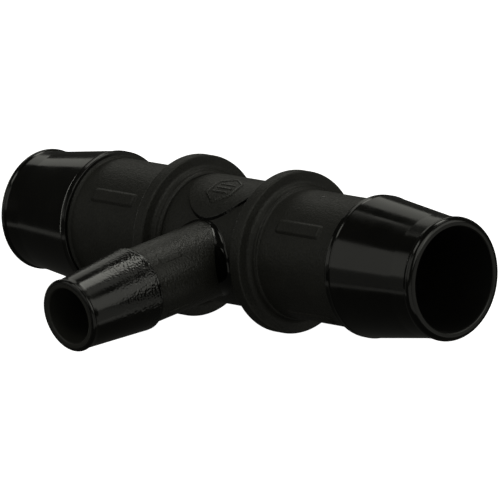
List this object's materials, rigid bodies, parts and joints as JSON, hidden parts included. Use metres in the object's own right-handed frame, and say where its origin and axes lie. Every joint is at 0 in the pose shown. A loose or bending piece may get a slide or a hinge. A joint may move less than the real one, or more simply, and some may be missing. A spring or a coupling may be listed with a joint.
{
  "type": "barbed reducing tee connector",
  "caption": "Black glass-filled nylon tee for hose: equal run ends and a smaller branch with single long-taper barbs, stop collars, index ribs and a round marking pad.",
  "frame": {"origin": "where the run axis and the branch axis meet", "axes": "+X along the run, -Y along the branch, +Z out of the plane of the tee on the side of the marking pad"},
  "size_m": [0.1, 0.0535, 0.027],
  "materials": {
    "nylon_matte": "black glass-filled nylon, fine spark-eroded texture",
    "nylon_polished": "black nylon, polished mould surface"
  },
  "bodies": {
    "root": {"centre_barrel": "nylon_matte", "left_collar": "nylon_matte", "right_collar": "nylon_matte", "left_shank": "nylon_matte", "right_shank": "nylon_matte", "left_barb": "nylon_polished", "right_barb": "nylon_polished", "branch_root": "nylon_polished", "branch_shank": "nylon_matte", "branch_barb": "nylon_polished", "left_shank_ribs": "nylon_matte", "right_shank_ribs": "nylon_matte", "branch_shank_ribs": "nylon_matte", "marking_pad": "nylon_matte", "pad_emblem": "nylon_matte", "gate_nub": "nylon_polished"}
  },
  "joints": []
}
